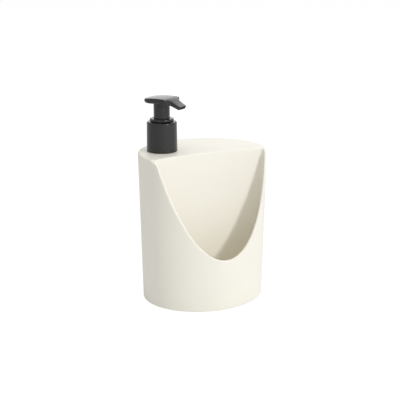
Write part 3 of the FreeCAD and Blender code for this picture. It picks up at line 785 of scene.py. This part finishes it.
@dataclass
class PumpHead:
    """The pump's head: a thumb pad that runs into a beak spout, on a round skirt.

    Sizes are in millimetres, along the spout from the pump's axis and upwards from the pad's underside.
    """

    turn_degrees: float = -57.0
    low: float = 171.9
    pad_half: float = 11.3
    pad_back: float = 13.6
    back_corner: float = 7.5
    pad_front: float = 10.9
    pad_corner: float = 1.2
    pad_top: float = 5.1
    crown: float = 3.0
    crown_radius: float = 180.0
    back_radius: float = 100.0
    notch: float = 13.0
    notch_round: float = 1.6
    spout_half: float = 6.1
    spout_sag: float = 0.3
    bend: float = 10.6
    bend_softness: float = 0.9
    root: float = 10.0
    root_softness: float = 0.8
    tip_half: float = 5.2
    tip_corner: float = 0.9
    tip_reach: float = 21.7
    tip_top: float = -1.5
    low_reach: float = 20.5
    tip_low: float = -4.2
    edge_round: tuple[float, float, float] = (1.1, 0.9, 0.35)
    edge_inset: tuple[float, float, float] = (1.3, 0.9, 0.35)
    low_round: tuple[float, float, float] = (1.9, 0.9, 0.35)
    edge_places: tuple[float, float] = (2.0, 9.5)
    outlet: tuple[float, float, float] = (6.0, 7.6, 1.5)
    skirt_radius: float = 6.93
    skirt_bore: float = 5.83
    skirt_low: float = -16.8
    skirt_sink: float = 1.2
    boss_radius: float = 4.2
    boss_low: float = -8.0
    socket_radius: float = 2.72
    socket_top: float = -1.0
    ceiling: float = -0.3
    outline_pitch: float = 0.3
    round_steps: int = 6
    fill_steps: int = 10
    sides: int = 96
    corner_points: int = 12
    crisp_degrees: float = 40.0

    def build(self) -> bpy.types.Object:
        """Build the head.

        Returns:
            The head, in place of its CAD node.
        """
        piece = smooth_piece("beak_head", self._pad())
        shaped_by(piece, smooth_piece("head_skirt_tool", self._skirt()), "UNION")
        shaped_by(piece, smooth_piece("head_outlet_tool", self._outlet()), "DIFFERENCE")
        piece.data.shade_smooth()
        piece.data.set_sharp_from_angle(angle=math.radians(self.crisp_degrees))
        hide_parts("pump_head")
        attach(piece, Body.HEAD.value)
        return piece

    def _placed(self, points: np.ndarray) -> np.ndarray:
        """Return points of the head where they stand in the caddy."""
        turn = math.radians(self.turn_degrees)
        along = np.array([math.cos(turn), math.sin(turn), 0.0])
        across = np.array([-math.sin(turn), math.cos(turn), 0.0])
        start = np.array([*PUMP_AXIS, self.low])
        return start + points[..., :1] * along + points[..., 1:2] * across + points[..., 2:] * UP

    def _ramp(self, u: np.ndarray | float, start: float, softness: float) -> np.ndarray:
        """Return a ramp that is level before its start and bends softly upwards there."""
        return softness * np.logaddexp(0.0, (np.asarray(u) - start) / softness)

    def _top(self, u: np.ndarray, v: np.ndarray) -> np.ndarray:
        """Return the height of the head's top: a shallow dome, a soft bend and the spout's slope."""
        radius = np.where(u < self.crown, self.back_radius, self.crown_radius)
        fall = (np.minimum(u, self.bend) - self.crown) ** 2 / (2 * radius)
        whole = self.pad_top - (self.bend - self.crown) ** 2 / (2 * self.crown_radius) - self.tip_top
        slope = whole / self._ramp(self.tip_reach, self.bend, self.bend_softness)
        share = np.clip((u - self.bend) / (self.tip_reach - self.bend), 0.0, 1.0)
        sag = self.spout_sag * np.sin(math.pi * share)
        down = slope * self._ramp(u, self.bend, self.bend_softness)
        return self.pad_top - fall - down - sag - v**2 / (2 * self.crown_radius)

    def _underside(self, u: np.ndarray) -> np.ndarray:
        """Return the height of the head's underside: level under the pad, sloping under the spout."""
        whole = self._ramp(self.low_reach, self.root, self.root_softness)
        return self.tip_low * self._ramp(u, self.root, self.root_softness) / whole

    def _plan(self) -> np.ndarray:
        """Return the outline of the top seen from above, from the tip's middle all around."""
        path = [(self.tip_reach, 0.0), (self.tip_reach, self.tip_half), (self.notch, self.spout_half)]
        path += [(self.pad_front, self.pad_half), (-self.pad_back, self.pad_half), (-self.pad_back, 0.0)]
        corners = np.array(path)
        radii = (self.tip_corner, self.notch_round, self.pad_corner, self.back_corner)
        rows = [corners[:1]]
        for index, radius in enumerate(radii, start=1):
            rows.append(self._rounded(corners[index - 1], corners[index], corners[index + 1], radius))
        points = np.concatenate([*rows, corners[-1:]])
        along = lengths(points)
        even = np.linspace(0.0, along[-1], int(along[-1] / self.outline_pitch) + 1)
        half = np.stack([np.interp(even, along, points[:, axis]) for axis in range(2)], axis=-1)
        return np.concatenate([half, half[-2:0:-1] * (1, -1)])

    def _rounded(
        self, before: np.ndarray, corner: np.ndarray, after: np.ndarray, radius: float
    ) -> np.ndarray:
        """Return a rounded corner of the outline.

        Args:
            before: The corner before it.
            corner: The corner.
            after: The corner after it.
            radius: Radius of the rounding.

        Returns:
            Points of the rounding.
        """
        first, second = unit(before - corner), unit(after - corner)
        half_angle = math.acos(float(first @ second)) / 2
        reach = radius / math.tan(half_angle)
        centre = corner + unit(first + second) * radius / math.sin(half_angle)
        start, end = corner + first * reach - centre, corner + second * reach - centre
        swing = math.pi - 2 * half_angle
        t = np.linspace(0.0, swing, self.corner_points)[:, None]
        return centre + (start * np.sin(swing - t) + end * np.sin(t)) / math.sin(swing)

    def _pad(self) -> bmesh.types.BMesh:
        """Return the pad and spout as a closed mesh, built of rows around the outline."""
        upper = self._plan()
        shrink = (self.low_reach - self.root) / (self.tip_reach - self.root)
        lower = upper.copy()
        lower[:, 0] -= np.maximum(upper[:, 0] - self.root, 0.0) * (1.0 - shrink)
        along = ways_along(upper)
        inward = np.stack([-along[:, 1], along[:, 0]], axis=-1)
        places = (*self.edge_places, self.tip_reach)
        radius = np.interp(upper[:, 0], places, self.edge_round)[:, None]
        inset = inward * np.interp(upper[:, 0], places, self.edge_inset)[:, None]
        low_radius = np.interp(upper[:, 0], places, self.low_round)[:, None]
        spine = np.zeros_like(upper)
        spine[:, 0] = np.clip(upper[:, 0], self.back_corner - self.pad_back, self.notch)
        turns = quarter_turn(self.round_steps)
        fills = np.linspace(1.0, 0.0, self.fill_steps + 1)
        flat_low = lower + inward * low_radius
        flat_top = upper + inset
        rows = []
        for share in fills[:-1]:
            plan = flat_low + (spine - flat_low) * share
            rows.append((plan, self._underside(plan[:, 0])))
        for turn in turns:
            plan = lower + inward * low_radius * (1 - math.sin(turn))
            rows.append((plan, self._underside(plan[:, 0]) + low_radius[:, 0] * (1 - math.cos(turn))))
        for turn in turns:
            plan = upper + inset * (1 - math.cos(turn))
            rows.append((plan, self._top(*plan.T) - radius[:, 0] * (1 - math.sin(turn))))
        for share in fills[::-1][1:]:
            plan = flat_top + (spine - flat_top) * share
            rows.append((plan, self._top(*plan.T)))
        mesh = bmesh.new()
        loft(mesh, [self._placed(np.column_stack(row)) for row in rows])
        return mesh

    def _skirt(self) -> bmesh.types.BMesh:
        """Return the skirt with the boss that holds the stem, as a closed mesh of turned rows."""
        profile = [
            (0.0, self.skirt_sink),
            (self.skirt_radius, self.skirt_sink),
            (self.skirt_radius, self.skirt_low),
            (self.skirt_bore, self.skirt_low),
            (self.skirt_bore, self.ceiling),
            (self.boss_radius, self.ceiling),
            (self.boss_radius, self.boss_low),
            (self.socket_radius, self.boss_low),
            (self.socket_radius, self.socket_top),
            (0.0, self.socket_top),
        ]
        angle = 2 * math.pi * np.arange(self.sides) / self.sides
        way = np.stack([np.cos(angle), np.sin(angle)], axis=-1)
        mesh = bmesh.new()
        rows = [np.column_stack((way * radius, np.full(self.sides, level))) for radius, level in profile]
        loft(mesh, [self._placed(row) for row in rows])
        return mesh

    def _outlet(self) -> bmesh.types.BMesh:
        """Return the slot that is cut into the spout's tip."""
        long, wide, tall = self.outlet
        middle = np.array([(self.tip_reach + self.low_reach) / 2, 0.0, (self.tip_top + self.tip_low) / 2])
        way = unit(np.array([self.tip_reach - self.bend, 0.0, self.tip_low - self.pad_top / 2]))
        square = np.array([-way[2], 0.0, way[0]])
        side = np.array([0.0, 1.0, 0.0])
        corners = [(-wide, -tall), (wide, -tall), (wide, tall), (-wide, tall)]
        rows = []
        for end in (-long / 2, long / 2):
            row = [middle + way * end + (side * across + square * up) / 2 for across, up in corners]
            rows.append(self._placed(np.array(row)))
        mesh = bmesh.new()
        loft(mesh, rows, capped=True)
        return mesh


@dataclass
class ReturnSpring:
    """The pump's steel spring, wound in one fixed shape that does not shorten as the head is pressed.

    Sizes are in millimetres.
    """

    low: float = 107.0
    high: float = 128.3
    stroke: float = 12.5
    wire: float = 0.9
    diameter: float = 8.2
    turns: int = 6
    end_pitch: float = 1.4
    steps_per_turn: int = 48
    sides: int = 12
    crisp_degrees: float = 50.0

    def build(self) -> bpy.types.Object:
        """Wind the spring.

        Returns:
            The spring, in place of its CAD node.
        """
        mesh = bmesh.new()
        turned = np.linspace(0.0, self.turns, self.turns * self.steps_per_turn + 1)
        loft(mesh, self._sections(turned), capped=True)
        piece = smooth_piece("wound_spring", mesh, self.crisp_degrees)
        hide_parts("return_spring")
        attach(piece, Body.CORE.value)
        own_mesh(piece)
        return piece

    def _rise(self, turned: np.ndarray) -> np.ndarray:
        """Return the wire's height after some turns: close in the end turns, open between them."""
        inner = self.high - self.low - self.wire - 2 * self.end_pitch
        open_turns = np.clip(turned - 1.0, 0.0, self.turns - 2.0)
        close_turns = turned - open_turns
        pitch = inner / (self.turns - 2)
        return self.low + self.wire / 2 + close_turns * self.end_pitch + open_turns * pitch

    def _sections(self, turned: np.ndarray) -> np.ndarray:
        """Return the wire's round sections.

        Args:
            turned: Turns from the lower end, one for each section.

        Returns:
            Points by section and side.
        """
        angle = 2 * math.pi * turned
        radial = np.stack([np.cos(angle), np.sin(angle), np.zeros_like(angle)], axis=-1)
        centre = radial * self.diameter / 2 + np.array([*PUMP_AXIS, 0.0])
        centre[:, 2] = self._rise(turned)
        along = unit(np.gradient(centre, axis=0))
        upward = np.cross(along, radial)
        turn = (2 * math.pi * np.arange(self.sides) / self.sides)[None, :, None]
        sideways = radial[:, None] * np.cos(turn) + upward[:, None] * np.sin(turn)
        return centre[:, None] + sideways * self.wire / 2


@dataclass
class ScrewThread:
    """A right-hand thread ridge that winds up the pump's axis with run-outs at both ends.

    Sizes are in millimetres.
    """

    name: str
    rides: Body
    slot: Slot
    root_radius: float
    crest_radius: float
    low: float
    turns: float
    pitch: float = 3.2
    root_width: float = 1.5
    crest_width: float = 0.7
    sink: float = 0.15
    steps_per_turn: int = 96
    run_out: float = 0.15
    crisp_degrees: float = 50.0

    def build(self) -> bpy.types.Object:
        """Wind the ridge.

        Returns:
            The ridge, added to the piece that it belongs to.
        """
        mesh = bmesh.new()
        count = int(self.turns * self.steps_per_turn)
        sections = [self._section(self.turns * step / count) for step in range(count + 1)]
        loft(mesh, sections, capped=True)
        piece = smooth_piece(self.name, mesh, self.crisp_degrees)
        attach(piece, self.rides.value)
        return piece

    def _section(self, turned: float) -> np.ndarray:
        """Return the ridge's corners after some turns.

        Args:
            turned: Turns from the lower end.

        Returns:
            Four corners, from the root's lower one to its upper one.
        """
        angle = 2 * math.pi * turned
        height = self.low + self.pitch * turned
        ease = min(1.0, turned / self.run_out, (self.turns - turned) / self.run_out)
        inwards = math.copysign(self.sink, self.crest_radius - self.root_radius)
        root = self.root_radius - inwards
        crest = self.root_radius + (self.crest_radius - self.root_radius) * ease
        corners = [
            (root, -self.root_width / 2),
            (crest, -self.crest_width / 2),
            (crest, self.crest_width / 2),
            (root, self.root_width / 2),
        ]
        left, back = PUMP_AXIS
        way = (math.cos(angle), math.sin(angle))
        return np.array([(left + r * way[0], back + r * way[1], height + rise) for r, rise in corners])


THREADS = (
    ScrewThread("neck_thread", Body.CADDY, Slot.BODY, 10.8, 11.6, 140.6, 2.25),
    ScrewThread("collar_thread", Body.COLLAR, Slot.PUMP, 11.9, 11.1, 139.0, 2.25),
)


# Studio


@dataclass(frozen=True)
class Lamp:
    """A soft lamp that faces the object.

    Attributes:
        name: Name of the lamp.
        shape: Shape of its face.
        size: Width of its face in metres.
        power: Its power in watts.
        direction: The way from the object to the lamp.
        distance: How far it hangs from the object, in metres.
    """

    name: str
    shape: str
    size: float
    power: float
    direction: tuple[float, float, float]
    distance: float

    def hang(self, aim: Vector) -> None:
        """Hang the lamp.

        Args:
            aim: The place that it faces.
        """
        data = bpy.data.lights.new(self.name, "AREA")
        data.shape = self.shape
        data.size = self.size
        data.energy = self.power
        lamp = add_object(self.name, data)
        towards = Vector(self.direction).normalized()
        lamp.location = aim + towards * self.distance
        lamp.rotation_euler = towards.to_track_quat("Z", "Y").to_euler()


LAMPS = (
    Lamp("key_lamp", "DISK", 0.32, 15.6, (0.31, -0.835, 0.455), 2.0),
    Lamp("top_lamp", "SQUARE", 1.2, 4.6, (0.0, 0.0, 1.0), 1.4),
    Lamp("back_lamp", "SQUARE", 1.5, 6.5, (0.41, 0.84, 0.3), 2.1),
    Lamp("side_lamp", "SQUARE", 1.2, 3.0, (0.703, 0.468, 0.534), 2.0),
)


@dataclass
class Studio:
    """Camera, lamps, world and floor of the photo."""

    azimuth: float = -26.12
    elevation: float = 16.01
    distance: float = 0.8254
    target_height: float = 0.0854
    target_right: float = -0.002455
    focal_pixels: float = 942.7
    image_pixels: float = 400.0
    sensor: float = 36.0
    world_strength: float = 0.57
    mirror_strength: float = 0.58
    floor_size: float = 14.0
    floor_white: float = 0.85
    floor_glow: float = 0.87
    shadow_share: float = 0.25
    light_bounces: int = 8
    near_clip: float = 0.01

    def build(self) -> None:
        """Set up the whole studio; light keeps bouncing in the white pocket, so it gets more bounces."""
        self._camera()
        for lamp in LAMPS:
            lamp.hang(Vector((0.0, 0.0, self.target_height)))
        self._world()
        self._floor()
        bpy.context.scene.view_settings.view_transform = "Standard"
        bpy.context.scene.cycles.diffuse_bounces = self.light_bounces

    def _axes(self) -> tuple[Vector, Vector, Vector]:
        """Return the camera's right, up and back directions."""
        turn = math.radians(self.azimuth)
        rise = math.radians(self.elevation)
        back = Vector((math.sin(turn) * math.cos(rise), -math.cos(turn) * math.cos(rise), math.sin(rise)))
        right = Vector((math.cos(turn), math.sin(turn), 0.0))
        return right, back.cross(right), back

    def _camera(self) -> None:
        """Put the camera where the photo was taken."""
        right, up, back = self._axes()
        target = Vector((0.0, 0.0, self.target_height)) + right * self.target_right
        data = bpy.data.cameras.new("photo_camera")
        data.sensor_fit = "HORIZONTAL"
        data.sensor_width = self.sensor
        data.lens = self.focal_pixels / self.image_pixels * self.sensor
        data.clip_start = self.near_clip
        camera = add_object("photo_camera", data)
        place = Matrix((right, up, back)).transposed().to_4x4()
        place.translation = target + back * self.distance
        camera.matrix_world = place
        bpy.context.scene.camera = camera

    def _world(self) -> None:
        """Light the object from all around; the camera and glossy faces see their own shade of white."""
        world = bpy.data.worlds.new("studio_world")
        world.use_nodes = True
        tree = world.node_tree
        tree.nodes.clear()
        rays = add_node(tree, "LightPath")
        seen = {
            "Is Glossy Ray": self.mirror_strength,
            "Is Transmission Ray": self.mirror_strength,
            "Is Camera Ray": 1.0,
        }
        shown = self._white(tree, self.world_strength)
        for ray, strength in seen.items():
            shown = self._mixed(tree, rays.outputs[ray], shown, self._white(tree, strength))
        tree.links.new(shown, add_node(tree, "OutputWorld").inputs["Surface"])
        bpy.context.scene.world = world

    def _white(self, tree: Tree, strength: float) -> Socket:
        """Return the light of a white background of some strength."""
        inputs = {"Color": (1.0, 1.0, 1.0, 1.0), "Strength": strength}
        return add_node(tree, "Background", inputs).outputs["Background"]

    def _mixed(self, tree: Tree, share: Socket, first: Socket, second: Socket) -> Socket:
        """Return a mix of two shaders, the second one alone where its share is 1."""
        mix = add_node(tree, "MixShader")
        for source, target in zip((share, first, second), mix.inputs):
            tree.links.new(source, target)
        return mix.outputs["Shader"]

    def _floor(self) -> None:
        """Lay the white floor, which shows the camera a faint shadow."""
        mesh = bmesh.new()
        bmesh.ops.create_grid(mesh, x_segments=1, y_segments=1, size=self.floor_size / 2)
        data = bpy.data.meshes.new("studio_floor")
        mesh.to_mesh(data)
        mesh.free()
        floor = add_object("studio_floor", data)
        data.materials.append(self._floor_material())

    def _floor_material(self) -> bpy.types.Material:
        """Return a plain white that the camera sees brightened, with part of its shadow left."""
        material = bpy.data.materials.new("studio_white")
        material.use_nodes = True
        tree = material.node_tree
        tree.nodes.clear()
        rays = add_node(tree, "LightPath")
        plain, faint = (
            add_node(tree, "BsdfDiffuse", {"Color": (white, white, white, 1.0)}).outputs["BSDF"]
            for white in (self.floor_white, self.floor_white * self.shadow_share)
        )
        glow = add_node(tree, "Emission", {"Strength": self.floor_glow})
        bright = add_node(tree, "AddShader")
        tree.links.new(faint, bright.inputs[0])
        tree.links.new(glow.outputs["Emission"], bright.inputs[1])
        shown = self._mixed(tree, rays.outputs["Is Camera Ray"], plain, bright.outputs["Shader"])
        tree.links.new(shown, add_node(tree, "OutputMaterial").inputs["Surface"])
        return material


def main() -> None:
    """Build the caddy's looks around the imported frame."""
    logging.basicConfig(level=logging.INFO, format="%(name)s: %(message)s")
    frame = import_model()
    dresser = Dresser()
    PumpDress().dress(frame["nodes"], dresser)
    makers = [(CaddyCup(), Slot.BODY), (PumpHead(), Slot.PUMP), (ReturnSpring(), Slot.STEEL)]
    makers += [(thread, thread.slot) for thread in THREADS]
    for maker, slot in makers:
        piece = maker.build()
        dresser.dress(piece, slot)
        LOG.info("built %s with %d faces", piece.name, len(piece.data.polygons))
    Studio().build()


if __name__ == "__main__":
    main()
